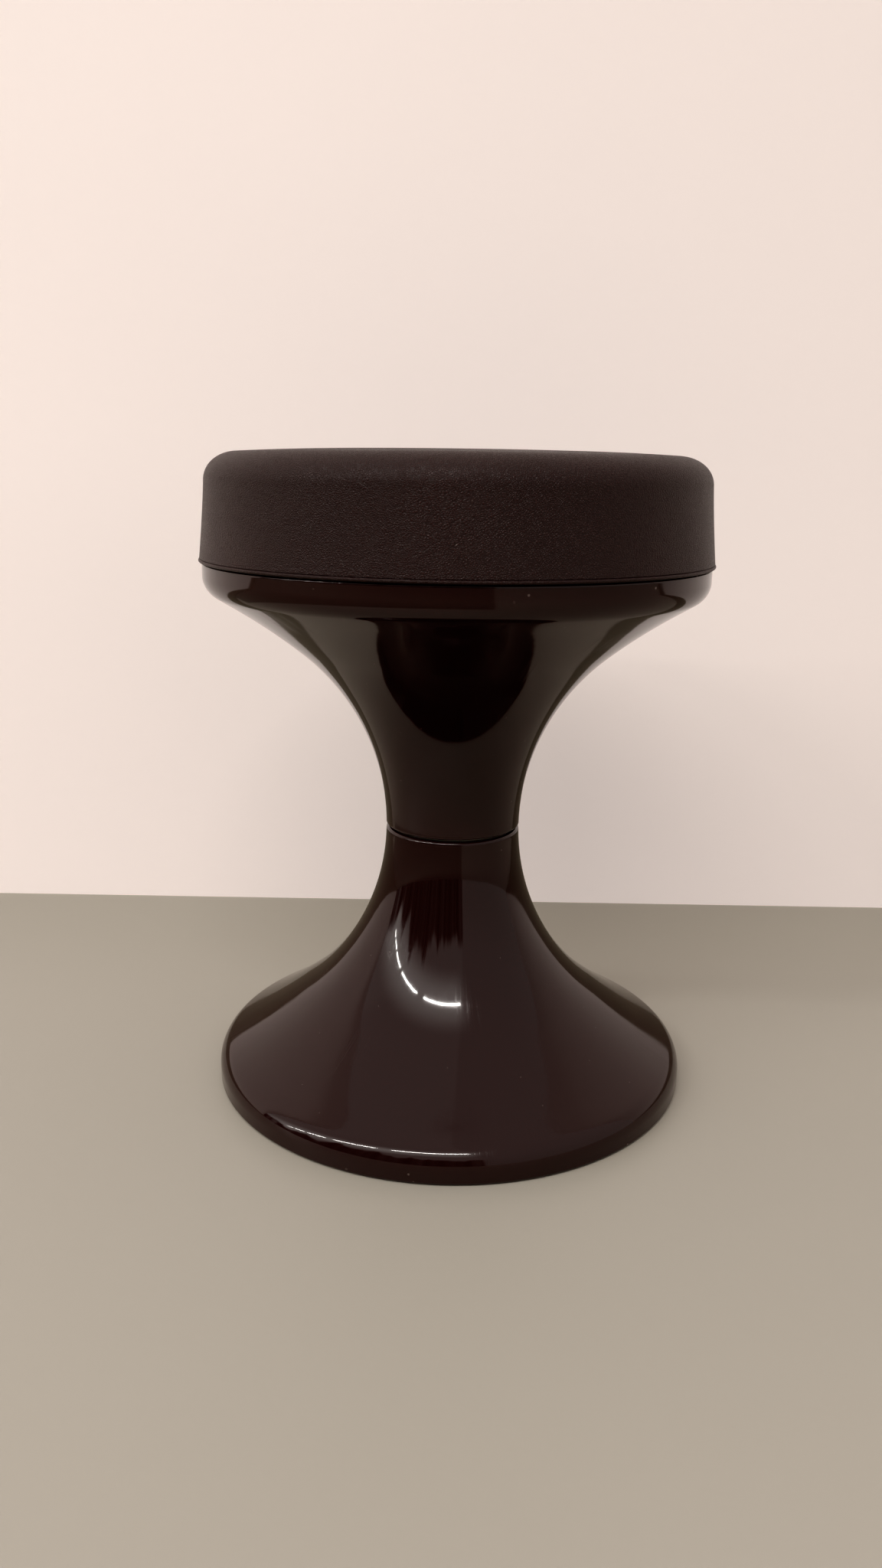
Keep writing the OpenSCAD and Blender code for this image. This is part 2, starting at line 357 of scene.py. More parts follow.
@dataclass(frozen=True)
class SatinMoulding(Finish):
    """Satin moulded plastic with a fine spark-eroded texture."""

    name: str
    colour: Colour
    roughness: float = 0.42
    texture: float = 0.02 * MM

    def shader(self, paint: Paint) -> Named:
        """The shader's inputs."""
        grit = paint.noise(2600.0, 2.0)
        scuff = paint.noise(45.0, 5.0).between(0.55, 0.8)
        pale = tuple(min(1.0, 1.5 * c + 0.01) for c in self.colour)
        return {
            "Base Color": paint.blend(scuff * 0.4, self.colour, pale),
            "Roughness": self.roughness + grit * 0.06 + scuff * 0.1,
            "IOR": 1.5,
            "Normal": paint.bump(grit, self.texture),
        }


@dataclass(frozen=True)
class ZincSteel(Finish):
    """Bright zinc plating: a crystalline bloom, and turning marks round the axis."""

    name: str = "bright_zinc"
    bright: Colour = (0.72, 0.73, 0.74)
    dull: Colour = (0.50, 0.50, 0.47)

    def shader(self, paint: Paint) -> Named:
        """The shader's inputs."""
        rings = paint.turned(2600.0)
        bloom = paint.noise(260.0, 4.0).between(0.4, 0.7)
        flake = paint.split(paint.cells(900.0).other("Color"))[0]
        return {
            "Base Color": paint.blend(bloom * 0.7 + flake * 0.2, self.bright, self.dull),
            "Metallic": 1.0,
            "Roughness": 0.24 + bloom * 0.14 + flake * 0.06,
            "Normal": paint.bump(rings, 0.01 * MM),
        }


@dataclass(frozen=True)
class NaturalAcetal(Finish):
    """Waxy off-white acetal, with faint machining rings and grease stains."""

    name: str = "natural_acetal"
    clean: Colour = (0.78, 0.76, 0.68)
    greased: Colour = (0.46, 0.42, 0.33)

    def shader(self, paint: Paint) -> Named:
        """The shader's inputs."""
        rings = paint.turned(1700.0)
        grease = paint.noise(90.0, 4.0).between(0.55, 0.8)
        return {
            "Base Color": paint.blend(grease * 0.6, self.clean, self.greased),
            "Roughness": 0.36 - grease * 0.12 + rings * 0.08,
            "IOR": 1.48,
            "Subsurface Weight": 0.15,
            "Subsurface Scale": 1.5 * MM,
            "Normal": paint.bump(rings, 0.015 * MM),
        }


@dataclass(frozen=True)
class BlackRubber(Finish):
    """Matte moulded rubber with floor dust in its texture."""

    name: str = "black_rubber"
    clean: Colour = (0.010, 0.010, 0.011)
    dusty: Colour = (0.075, 0.070, 0.062)

    def shader(self, paint: Paint) -> Named:
        """The shader's inputs."""
        grit = paint.noise(1500.0, 3.0)
        dust = paint.noise(160.0, 4.0).between(0.5, 0.75)
        height = paint.split(paint.place)[2]
        trodden = height.between(4 * MM, 0.0)
        return {
            "Base Color": paint.blend(dust * 0.3 + trodden * 0.5, self.clean, self.dusty),
            "Roughness": 0.72 + grit * 0.18,
            "Normal": paint.bump(grit, 0.05 * MM),
        }


@dataclass(frozen=True)
class Plywood(Finish):
    """Birch plywood: long grain on the faces, and plies of crossing grain on the edge."""

    name: str = "birch_plywood"
    pale: Colour = (0.62, 0.44, 0.26)
    dark: Colour = (0.36, 0.22, 0.11)
    ply: float = 1.43 * MM

    def shader(self, paint: Paint) -> Named:
        """The shader's inputs."""
        grain = paint.noise(1.0, 5.0, paint.scaled(14.0, 190.0, 190.0)).between(0.35, 0.7)
        pores = paint.noise(1.0, 2.0, paint.scaled(90.0, 1500.0, 1500.0)).between(0.55, 0.75)
        z = paint.split(paint.place)[2]
        layer = abs((z / self.ply).math("FRACT", z / self.ply) - 0.5).between(0.44, 0.5)
        shade = grain * 0.55 + pores * 0.2 + layer * 0.5
        return {
            "Base Color": paint.blend(shade, self.pale, self.dark),
            "Roughness": 0.62 + pores * 0.15,
            "Normal": paint.bump(1 - pores, 0.06 * MM),
        }


@dataclass(frozen=True)
class OpenFoam(Finish):
    """Open-cell upholstery foam, yellowed in places, with painted shade in its cell pores."""

    name: str = "open_foam"
    fresh: Colour = (0.74, 0.68, 0.42)
    aged_and_pore_shade: Colour = (0.55, 0.42, 0.18)
    cell: float = 1.1 * MM

    def shader(self, paint: Paint) -> Named:
        """The shader's inputs."""
        wall = paint.cells(1 / self.cell, "DISTANCE_TO_EDGE").between(0.25, 0.02)
        age = paint.noise(14.0, 3.0).between(0.4, 0.7)
        return {
            # the cell pores, away from the cell walls, take part of the darker colour as painted shade
            "Base Color": paint.blend(age * 0.6 + (1 - wall) * 0.3, self.fresh, self.aged_and_pore_shade),
            "Roughness": 0.95,
            "Normal": paint.bump(wall, 0.35 * MM),
        }


@dataclass(frozen=True)
class SpunbondLiner(Finish):
    """Black spunbond cloth: matted fibres, pressed together in a grid of small dots."""

    name: str = "spunbond_liner"
    fibre: Colour = (0.022, 0.022, 0.024)
    pressed: Colour = (0.008, 0.008, 0.009)
    pitch: float = 1.8 * MM

    def shader(self, paint: Paint) -> Named:
        """The shader's inputs."""
        x, y, _ = paint.split(paint.place)
        across, along = (line.math("SINE", line * (math.pi / self.pitch)) for line in (x + y, x - y))
        dot = (across * along).between(0.45, 0.75)
        strands = paint.noise(1.0, 3.0, paint.scaled(700.0, 2400.0, 1.0))
        return {
            "Base Color": paint.blend(dot * 0.8 + strands * 0.2, self.fibre, self.pressed),
            "Roughness": 0.85 - dot * 0.3,
            "Sheen Weight": 0.1,
            "Normal": paint.bump(strands * 0.4 + (1 - dot) * 0.6, 0.12 * MM),
        }


@dataclass(frozen=True)
class PlainGround:
    """Plain pale floor or wall of the studio, which can't be seen from behind."""

    name: str
    colour: Colour
    roughness: float
    glow: float = 0.0

    def material(self) -> Material:
        """Builds the material."""
        paint = Paint(bpy.data.materials.new(self.name))
        tone = tuple(0.96 * c for c in self.colour)
        inputs = {
            "Base Color": paint.blend(paint.noise(3.0, 3.0), tone, self.colour),
            "Roughness": self.roughness,
            "Emission Color": (*self.colour, 1.0),
            "Emission Strength": self.glow,
            "Normal": paint.bump(paint.noise(140.0, 3.0), 0.1 * MM),
        }
        surface = paint.node("BsdfPrincipled", {}, inputs)
        clear = paint.node("BsdfTransparent", {}, {})
        back = paint.node("NewGeometry", {}, {}, "Backfacing")
        return paint.close(paint.node("MixShader", {}, {0: back, 1: surface, 2: clear}))


@dataclass(frozen=True)
class RoomLight:
    """Soft light of the room: a pale ceiling, a dim horizon and a dark side in front.

    Angles are in radians. An azimuth of 0 is towards -Y, and it grows towards +X. The
    camera itself sees an even pale backdrop. The ceiling is washed brighter along the
    row of tubes, which lies in the plane through the origin that wash_plane is normal to.
    """

    name: str = "soft_room"
    ceiling: Colour = (0.88, 0.81, 0.77)
    horizon: Colour = (0.78, 0.72, 0.67)
    shade: Colour = (0.05, 0.04, 0.035)
    glow: Colour = (0.95, 0.89, 0.84)
    wash: Colour = (2.5, 2.38, 2.26)
    backdrop: Colour = (0.78, 0.68, 0.62)
    shade_left: float = -2.0
    shade_right: float = 0.27
    shade_top: float = 0.47
    ragged: float = 0.9
    glow_left: float = -1.75
    glow_right: float = -1.05
    glow_low: float = 0.24
    glow_high: float = 0.65
    wash_plane: tuple[float, float] = (0.80, 0.60)
    wash_width: float = 0.27
    step_right: float = 0.14

    def world(self) -> World:
        """Builds the world."""
        paint = Paint(bpy.data.worlds.new(self.name), "Generated")
        x, y, z = paint.split(paint.place)
        azimuth = x.math("ARCTAN2", x, y * -1)
        height = z.math("ARCSINE", z)
        sky = paint.blend(height.between(0.05, 0.6), self.horizon, self.ceiling)
        beside = azimuth.window(self.glow_left, self.glow_right, 0.1, 0.1)
        upright = height.window(self.glow_low, self.glow_high, 0.1, 0.15)
        right = azimuth.between(self.shade_right - 0.02, self.shade_right + 0.02) * self.step_right
        sky = paint.blend(right, sky, self.shade)
        lit = paint.blend(beside * upright, sky, self.glow)
        tilt = abs(y * self.wash_plane[0] + z * self.wash_plane[1])
        lit = paint.blend(tilt.between(self.wash_width, 0.0) * x.between(0.25, 0.05), lit, self.wash)
        wander = paint.noise(4.0, 4.0, paint.join(azimuth, 0.0, 0.0)) - 0.5
        top = wander * self.ragged + self.shade_top - beside * (self.shade_top - self.glow_low)
        inside = azimuth.window(self.shade_left, self.shade_right, 0.04, 0.03)
        streaks = paint.noise(11.0, 2.0, paint.join(azimuth, 3.0, 0.0)).between(0.3, 0.6) * 0.3 + 0.7
        dark = inside * (height - top).between(0.06, -0.05) * streaks
        seen = paint.node("LightPath", {}, {}, "Is Camera Ray")
        colour = paint.blend(seen, paint.blend(dark, lit, self.shade), self.backdrop)
        return paint.close(paint.node("Background", {}, {"Color": colour}))


# ---- surfaces


@dataclass
class Surface:
    """Closed surface of points and faces, before it becomes a mesh."""

    points: np.ndarray
    faces: list[list[int]]

    def __add__(self, other: "Surface") -> "Surface":
        """Both surfaces in one."""
        shift = len(self.points)
        moved = [[shift + index for index in face] for face in other.faces]
        return Surface(np.vstack([self.points, other.points]), self.faces + moved)

    def placed(self, angle: float, offset: Sequence[float] = (0.0, 0.0, 0.0)) -> "Surface":
        """The surface shifted by an offset and then turned about the vertical axis."""
        c, s = math.cos(angle), math.sin(angle)
        turn = np.array([[c, s, 0.0], [-s, c, 0.0], [0.0, 0.0, 1.0]])
        return Surface((self.points + np.asarray(offset)) @ turn, self.faces)

    def to_object(self, name: str, material: Material, crease: float = 28.0) -> Object:
        """Makes a smooth-shaded mesh object at the origin.

        Args:
            name: the piece's name.
            material: its material.
            crease: edges that turn by more than this many degrees stay sharp.

        Returns:
            The object, linked to the scene.
        """
        mesh = bpy.data.meshes.new(name)
        mesh.from_pydata(self.points.tolist(), [], self.faces)
        mesh.validate()
        mesh.polygons.foreach_set("use_smooth", np.ones(len(mesh.polygons), bool))
        mesh.set_sharp_from_angle(angle=math.radians(crease))
        mesh.materials.append(material)
        mesh.update()
        piece = bpy.data.objects.new(name, mesh)
        bpy.context.scene.collection.objects.link(piece)
        return piece


def turned_grid(profile: np.ndarray, segments: int) -> np.ndarray:
    """Grid of a profile turned about the vertical axis.

    Point (i, j) is (r_j cos a_i, r_j sin a_i, z_j), with a_i = 2 pi i / segments.

    Args:
        profile: rows of (r, z), anticlockwise round the material.
        segments: steps round the axis.

    Returns:
        Array of segments x rows x 3.
    """
    angle = np.linspace(0.0, 2 * np.pi, segments, endpoint=False)[:, None]
    r, z = profile[:, 0], profile[:, 1]
    flat = np.broadcast_to(z, (segments, len(z)))
    return np.stack([np.cos(angle) * r, np.sin(angle) * r, flat], axis=2)


def net(
    grid: np.ndarray, first_pole: bool, last_pole: bool, looped: bool = False
) -> tuple[Surface, np.ndarray]:
    """Faces over a turned grid, which goes right round in its first direction.

    Args:
        grid: array of segments x rows x 3.
        first_pole: True if the first row is one point on the axis.
        last_pole: True if the last row is.
        looped: True if the last row joins the first.

    Returns:
        The surface, and the number in it of each grid point.
    """
    segments, rows = grid.shape[:2]
    index = np.arange(segments * rows).reshape(segments, rows)
    if first_pole:
        index[:, 0] = index[0, 0]
    if last_pole:
        index[:, -1] = index[0, -1]
    used, number = np.unique(index, return_inverse=True)
    number = number.reshape(index.shape)
    after = np.roll(number, -1, axis=0)
    spans = slice(int(first_pole), rows - 1 - int(last_pole) + int(looped))
    corners = [number, after, np.roll(after, -1, axis=1), np.roll(number, -1, axis=1)]
    faces = np.stack(corners, axis=2)[:, spans].reshape(-1, 4).tolist()
    if first_pole:
        faces += np.stack([number[:, 0], after[:, 1], number[:, 1]], axis=1).tolist()
    if last_pole:
        faces += np.stack([number[:, -2], after[:, -2], number[:, -1]], axis=1).tolist()
    return Surface(grid.reshape(-1, 3)[used], faces), number


def closed_skin(grid: np.ndarray, looped: bool = False) -> Surface:
    """Closed surface over a turned grid, whose rows form a loop or run from axis to axis."""
    return net(grid, not looped, not looped, looped)[0]


def rounded(outline: Sequence[tuple[float, float, float]], steps: int = 5) -> np.ndarray:
    """Line through corners whose turns are rounded.

    Each corner P is replaced by the curve (1-t)^2 A + 2t(1-t) P + t^2 B, where A and B lie
    on its two sides at the corner's reach. A point just outside each keeps the flats flat.

    Args:
        outline: corners as (r, z, reach), where a reach of 0 keeps the corner.
        steps: spans along each rounding.

    Returns:
        Rows of (r, z), from the first corner to the last.
    """
    corners = np.array(outline, float)
    point, reach = corners[1:-1, :2], corners[1:-1, 2]
    back, ahead = corners[:-2, :2] - point, corners[2:, :2] - point
    back /= np.linalg.norm(back, axis=1)[:, None]
    ahead /= np.linalg.norm(ahead, axis=1)[:, None]
    t = np.linspace(0.0, 1.0, steps + 1)
    weight_a = np.concatenate([[1.25], (1 - t) ** 2, [0.0]])
    weight_b = np.concatenate([[0.0], t**2, [1.25]])
    shift = back[:, None] * weight_a[:, None] + ahead[:, None] * weight_b[:, None]
    arcs = point[:, None] + shift * reach[:, None, None]
    line = np.vstack([corners[:1, :2], arcs.reshape(-1, 2), corners[-1:, :2]])
    step = np.linalg.norm(np.diff(line, axis=0), axis=1)
    return line[np.concatenate([[True], step > 1e-6])]


def arc(start: float, end: float, count: int) -> np.ndarray:
    """Points (cos a, sin a) of the unit circle at even angles from start to end."""
    turn = np.linspace(start, end, count)
    return np.stack([np.cos(turn), np.sin(turn)], axis=1)


def stretch(curve: np.ndarray, low: float, high: float) -> np.ndarray:
    """Part of a rising curve between two heights, with its ends interpolated."""
    ends = np.interp([low, high], curve[:, 1], curve[:, 0])
    inside = curve[(curve[:, 1] > low + 1e-6) & (curve[:, 1] < high - 1e-6)]
    return np.vstack([(ends[0], low), inside, (ends[1], high)])


def block(low: Sequence[float], high: Sequence[float], draft: float) -> Surface:
    """Rectangular web whose sides lean in towards its lower face.

    Args:
        low: lowest corner.
        high: highest corner.
        draft: how far each side face leans in at the bottom.

    Returns:
        The closed surface.
    """
    (x0, y0, z0), (x1, y1, z1) = low, high
    bottom = [(x0, y0 + draft, z0), (x1, y0 + draft, z0), (x1, y1 - draft, z0), (x0, y1 - draft, z0)]
    top = [(x0, y0, z1), (x1, y0, z1), (x1, y1, z1), (x0, y1, z1)]
    faces = [[3, 2, 1, 0], [4, 5, 6, 7], [0, 1, 5, 4], [1, 2, 6, 5], [2, 3, 7, 6], [3, 0, 4, 7]]
    return Surface(np.array(bottom + top, float), faces)


# ---- shells


@dataclass
class Trumpet:
    """A trumpet shell that stands on its rim: the curve, and the boss under its decked waist."""

    trim: float
    lip: float
    bore_r: float
    bore_round: float
    boss_r: float
    boss_h: float
    boss_round: float
    waist_z: float = 180 * MM
    rim_r: float = 165 * MM
    neck_r: float = 46 * MM
    neck_turn: float = math.radians(51)
    flare: float = math.radians(59)
    cone: float = 11 * MM
    rim_round: float = 15 * MM
    band_h: float = 9.2 * MM
    wall: float = 4 * MM
    groove: float = 1.6 * MM
    deck: float = 6 * MM
    thrust_in: float = 26.9 * MM
    thrust_out: float = 41.1 * MM
    thrust_sink: float = 2 * MM
    segments: int = 288

    def __post_init__(self) -> None:
        """Works out the heights of the deck's two faces and of the boss's end."""
        self.deck_z = self.waist_z - self.groove / 2
        self.under_z = self.deck_z - self.deck
        self.boss_z = self.under_z - self.boss_h

    def curve(self, inset: float) -> np.ndarray:
        """The curve from the rim up to the waist, moved inwards.

        From the rim plane: an upright band, a convex arc through the flare angle, a short
        straight cone, a wide concave arc from the flare angle back to the neck's turn, and a
        tighter one that is upright again where it meets the waist. The radii of the two
        concave arcs follow from where the curve starts and ends.

        Args:
            inset: how far the curve is moved inwards.

        Returns:
            Rows of (r, height above the rim plane), rising.
        """
        c, s = math.cos(self.flare), math.sin(self.flare)
        neck_c, neck_s = math.cos(self.neck_turn), math.sin(self.neck_turn)
        run = self.rim_r - self.neck_r - self.rim_round * (1 - c) - self.cone * s
        rise = self.waist_z - self.band_h - self.rim_round * s - self.cone * c
        spans = np.array([[1 - neck_c, neck_c - c], [neck_s, s - neck_s]])
        tight, wide = np.linalg.solve(spans, [run, rise])
        start = (self.rim_r - self.rim_round, self.band_h)
        convex = start + (self.rim_round - inset) * arc(0.0, self.flare, 18)
        middle = np.array([self.neck_r + tight, self.waist_z])
        far = middle + (wide - tight) * np.array([neck_c, neck_s])
        outer_arc = far - (wide + inset) * arc(self.flare, self.neck_turn, 14)
        neck_arc = middle - (tight + inset) * arc(self.neck_turn, 0.0, 58)[1:]
        share = np.linspace(0.0, 1.0, 5)[1:-1, None]
        cone = convex[-1] * (1 - share) + outer_arc[0] * share
        band = np.array([(self.rim_r - inset, 0.0), (self.rim_r - inset, self.band_h * 0.5)])
        return np.vstack([band, convex, cone, outer_arc, neck_arc])

    def profile(self) -> np.ndarray:
        """Anticlockwise outline of the wall, deck and boss, as rows of (r, z) in a closed loop."""
        top, low = self.deck_z, self.under_z
        outer = stretch(self.curve(0.0), self.trim + 1.5 * MM, top - self.lip)
        inner = stretch(self.curve(self.wall), self.trim + 1.0 * MM, low - 1.0 * MM)[::-1]
        inner_r = float(np.interp(low, inner[::-1, 1], inner[::-1, 0]))
        waist = (float(outer[-1, 0]) - self.lip, top - self.lip) + self.lip * arc(0.0, np.pi / 2, 9)[1:]
        corners = [
            (*waist[-1], 0.0),
            (self.thrust_out, top, 0.3 * MM),
            (self.thrust_out, top - self.thrust_sink, 0.2 * MM),
            (self.thrust_in, top - self.thrust_sink, 0.2 * MM),
            (self.thrust_in, top, 0.3 * MM),
            (self.bore_r, top, self.bore_round),
            (self.bore_r, self.boss_z, self.bore_round),
            (self.boss_r, self.boss_z, self.boss_round),
            (self.boss_r, low, 1.5 * MM),
            (inner_r, low, 0.9 * MM),
            (*inner[0], 0.0),
        ]
        face = rounded(corners)
        corners = [
            (*inner[-1], 0.0),
            (self.rim_r - self.wall, self.trim, 0.9 * MM),
            (self.rim_r, self.trim, 1.2 * MM),
            (*outer[0], 0.0),
        ]
        edge = rounded(corners)
        return np.vstack([outer, waist, face[1:], inner[1:], edge[1:-1]])


@dataclass
class BaseShell(Trumpet):
    """Lower trumpet: the wall, the decked waist with its ribbed boss, and the foot sockets."""

    trim: float = 1 * MM
    lip: float = 2.6 * MM
    bore_r: float = 6.2 * MM
    bore_round: float = 0.4 * MM
    boss_r: float = 18 * MM
    boss_h: float = 14 * MM
    boss_round: float = 1.0 * MM
    count: int = 6
    rib_t: float = 3 * MM
    socket_z: float = 3.5 * MM
    socket_r: float = 4 * MM
    socket_h: float = 7.1 * MM
    socket_out_r: float = 8.5 * MM
    socket_out_h: float = 9 * MM

    def ribs(self) -> Surface:
        """Webs from the boss to the wall under the deck."""
        half = self.rib_t / 2
        start = (self.boss_r - 1 * MM, -half, self.boss_z)
        web = block(start, (self.neck_r - self.wall / 2, half, self.under_z + 1 * MM), 0.35 * MM)
        return ring_of(web, self.count)

    def sockets(self) -> Surface:
        """Blind sockets that hold the rubber feet, each tied to the wall by a web."""
        low, high = self.socket_z, self.socket_z + self.socket_out_h
        corners = [
            (0.0, low + self.socket_h, 0.0),
            (self.socket_r, low + self.socket_h, 0.3 * MM),
            (self.socket_r, low, 0.4 * MM),
            (self.socket_out_r, low, 0.5 * MM),
            (self.socket_out_r, high, 0.8 * MM),
            (0.0, high, 0.0),
        ]
        cup = rounded(corners)
        socket = closed_skin(turned_grid(cup, 40))
        reach = self.socket_out_r + self.wall / 2
        tie = block((self.socket_r + 1 * MM, -self.rib_t, low), (reach, self.rib_t, high), 0.2 * MM)
        middle = self.rim_r - self.wall - self.socket_out_r
        return ring_of((socket + tie).placed(0.0, (middle, 0.0, 0.0)), self.count)

    def build(self) -> Object:
        """Makes the piece, hangs it on its body and hides the CAD node that it replaces."""
        wall = closed_skin(turned_grid(self.profile(), self.segments), looped=True)
        finish = GlossShell("maroon_gloss_base", self.trim, self.band_h)
        piece = (wall + self.ribs() + self.sockets()).to_object("base_trumpet", finish.material())
        return tie_in(piece, Body.BASE, "base_shell")


@dataclass
class BowlShell(Trumpet):
    """Upper trumpet: the same curve upside down, with the bush's boss inside its bowl."""

    trim: float = 1.2 * MM
    lip: float = 1.0 * MM
    bore_r: float = 12 * MM
    bore_round: float = 0.3 * MM
    boss_r: float = 20 * MM
    boss_h: float = 8 * MM
    boss_round: float = 0.8 * MM

    def build(self) -> Object:
        """Makes the piece, hangs it on its body and hides the CAD node that it replaces."""
        flipped = (self.profile() * (1, -1) + (0.0, 2 * self.waist_z))[::-1]
        wall = closed_skin(turned_grid(flipped, self.segments), looped=True)
        rim = 2 * self.waist_z - self.trim
        finish = GlossShell("maroon_gloss_bowl", rim - self.band_h, rim)
        piece = wall.to_object("bowl_trumpet", finish.material())
        return tie_in(piece, Body.BOWL, "bowl_shell")


def ring_of(surface: Surface, count: int) -> Surface:
    """Copies of a surface at equal angles round the axis, in one surface."""
    copies = [surface.placed(turn) for turn in np.arange(count) * 2 * np.pi / count]
    return reduce(Surface.__add__, copies)


def tie_in(piece: Object, body: Body, node: str) -> Object:
    """Hangs a new piece on the body it rides on, and hides the CAD node it replaces."""
    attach(piece, body.value)
    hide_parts(node)
    return piece


# ---- lid


@dataclass
class SeatPad:
    """The lid's soft parts: the vinyl cover, the foam in it and the liner under it."""

    hem_z: float
    top_z: float
    board_top_z: float
    radius: float
    skin: float = 1.5 * MM
    lip_out: float = 0.35 * MM
    lip_h: float = 2.6 * MM
    lip_w: float = 1.8 * MM
    taper: float = 4.4 * MM
    taper_power: float = 1.25
    edge_round: float = 18 * MM
    crown: float = 2 * MM
    hem_w: float = 29 * MM
    pleat: float = 0.5 * MM
    pleat_start: float = 2 * MM
    pleat_count: int = 96
    segments: int = 288
    swell: float = 0.9 * MM
    held: float = 8 * MM
    smoothing: int = 8

    def __post_init__(self) -> None:
        """Works out the shoulder, where the side ends and the top edge starts to round."""
        self.shoulder_r = self.radius - self.lip_out - self.taper
        self.shoulder_z = self.top_z - self.crown - self.edge_round
        self.hem_r = self.radius - self.hem_w

    def side(self, low: float, inset: float, count: int) -> np.ndarray:
        """Side, rounded edge and crown, from a height up to the axis.

        The side's radius is shoulder + taper (1 - t)^power, where t goes from 0 at the hem to
        1 at the shoulder. A quarter circle follows, and then a crown that falls with the square
        of the distance from the axis.

        Args:
            low: height of the first point.
            inset: how far the outline is moved inwards.
            count: points up the side.

        Returns:
            Rows of (r, z), ending on the axis.
        """
        z = np.linspace(low, self.shoulder_z, count)
        t = (z - self.hem_z) / (self.shoulder_z - self.hem_z)
        flank = np.stack([self.shoulder_r - inset + self.taper * (1 - t) ** self.taper_power, z], 1)
        bend = self.edge_round - inset
        crown_r = self.shoulder_r - self.edge_round
        corner = (crown_r, self.shoulder_z) + bend * arc(0.0, np.pi / 2, 22)[1:]
        r = np.linspace(crown_r, 0.0, 30)[1:]
        rise = self.crown * (1 - (r / crown_r) ** 2)
        top = np.stack([r, self.shoulder_z + bend + rise], 1)
        return np.vstack([flank, corner, top])

    def outer(self) -> np.ndarray:
        """Outside of the cover: the turned-under hem, its rounded lip, the side and the top."""
        under = np.linspace(self.hem_r, self.radius - self.lip_w, 14)
        hem = np.stack([under, np.full_like(under, self.hem_z)], 1)
        half = self.lip_h / 2
        bend = arc(-np.pi / 2, np.pi * 0.36, 10)[1:] * (self.lip_w, half)
        lip = (self.radius - self.lip_w, self.hem_z + half) + bend
        return np.vstack([hem, lip, self.side(float(lip[-1, 1]) + 0.25 * MM, 0.0, 34)])

    def inner(self) -> np.ndarray:
        """Inside of the cover, from the axis out, down and back in over the hem."""
        climb = self.side(self.hem_z + self.skin + 1.0 * MM, self.skin, 20)
        hem = [(self.shoulder_r + self.taper - self.skin - 1.0 * MM, self.hem_z + self.skin)]
        hem.append((self.hem_r, self.hem_z + self.skin))
        return np.vstack([climb[::-1], hem])

    def swollen(self, grid: np.ndarray) -> np.ndarray:
        """How far the foam pushes each point of the cover out, from a cloth simulation.

        A coarse copy of the cover is held below the shoulder and blown up a little. Each
        point's move is capped, smoothed over its neighbours a few times and carried over to
        the fine grid by linear interpolation along both directions.

        Args:
            grid: the cover's outer grid, segments x rows x 3.

        Returns:
            Displacement of each grid point, of the grid's shape.
        """
        step_a, step_b = 4, 2
        rows = np.unique(np.append(np.arange(0, grid.shape[1], step_b), grid.shape[1] - 1))
        coarse = grid[::step_a][:, rows]
        moved = CoverTrial(self.shoulder_z - self.held).run(coarse) - coarse
        length = np.linalg.norm(moved, axis=2, keepdims=True)
        moved = moved * np.minimum(1.0, self.swell / np.maximum(length, 1e-9))
        for _ in range(self.smoothing):
            moved[:, 1:-1] = (moved[:, :-2] + 2 * moved[:, 1:-1] + moved[:, 2:]) / 4
            moved = (np.roll(moved, 1, 0) + 2 * moved + np.roll(moved, -1, 0)) / 4
        moved = np.concatenate([moved, moved[:1]], axis=0)
        around = spread(np.arange(0, grid.shape[0] + 1, step_a), grid.shape[0])
        along = spread(rows, grid.shape[1])
        return np.einsum("ia,jb,abk->ijk", around, along, moved, optimize=True)

    def build_cover(self) -> Object:
        """Makes the vinyl cover as one closed skin, pleated where its hem turns under."""
        outside = turned_grid(self.outer(), self.segments)
        outside = outside + self.swollen(outside)
        x, y, z = np.moveaxis(outside, 2, 0)
        depth = self.radius - self.pleat_start - np.hypot(x, y)
        under = (z < self.hem_z + 0.1 * MM) & (depth > 0)
        share = np.clip(depth / self.hem_w, 0.0, 1.0)
        fold = self.pleat * share * (0.5 - 0.5 * np.cos(self.pleat_count * np.arctan2(y, x)))
        z += np.where(under, fold, 0.0)
        inside = turned_grid(self.inner(), self.segments)
        skin = closed_skin(np.concatenate([inside, outside], axis=1))
        piece = skin.to_object("pad_cover", GrainedVinyl().material(), 50.0)
        tie_in(piece, Body.LID, "seat_cover")
        return piece

    def build_foam(self) -> Object:
        """Makes the foam block that fills the cover down to the board."""
        gap = self.skin + 0.4 * MM
        climb = self.side(self.board_top_z + 2 * MM, gap, 20)
        edge, flat = climb[0, 0], self.board_top_z
        low = [(0.0, flat), (0.1, flat), (edge - 1.2 * MM, flat), (edge - 0.3 * MM, flat + 0.6 * MM)]
        grid = turned_grid(np.vstack([low, climb]), self.segments // 2)
        piece = closed_skin(grid).to_object("pad_foam", OpenFoam().material())
        tie_in(piece, Body.LID, "seat_foam")
        return piece

    def build_liner(self) -> Object:
        """Makes the liner: a thin disc that hangs a little between its stapled edge.

        Its lower face lies at hem + dip (1 - (r / edge)^2), upside down, with shallow radial
        puckers that fade towards the middle.
        """
        edge, thick, dip = self.hem_r - 1 * MM, 0.5 * MM, 0.3 * MM
        r = np.linspace(0.0, edge, 40)
        low = self.hem_z + 0.4 * MM - dip * (1 - (r / edge) ** 2)
        lower = np.stack([r, low], 1)
        upper = np.stack([r, low + thick], 1)[::-1]
        grid = turned_grid(np.vstack([lower, upper]), 192)
        x, y, z = np.moveaxis(grid, 2, 0)
        z += 0.25 * MM * (np.hypot(x, y) / edge) ** 3 * np.cos(32 * np.arctan2(y, x))
        piece = closed_skin(grid).to_object("pad_liner", SpunbondLiner().material(), 60.0)
        tie_in(piece, Body.LID, "underside_liner")
        return piece


def spread(known: np.ndarray, count: int) -> np.ndarray:
    """Weights that carry values at known places over to the places 0 to count - 1, linearly."""
    return np.stack([np.interp(np.arange(count), known, row) for row in np.eye(len(known))], axis=1)


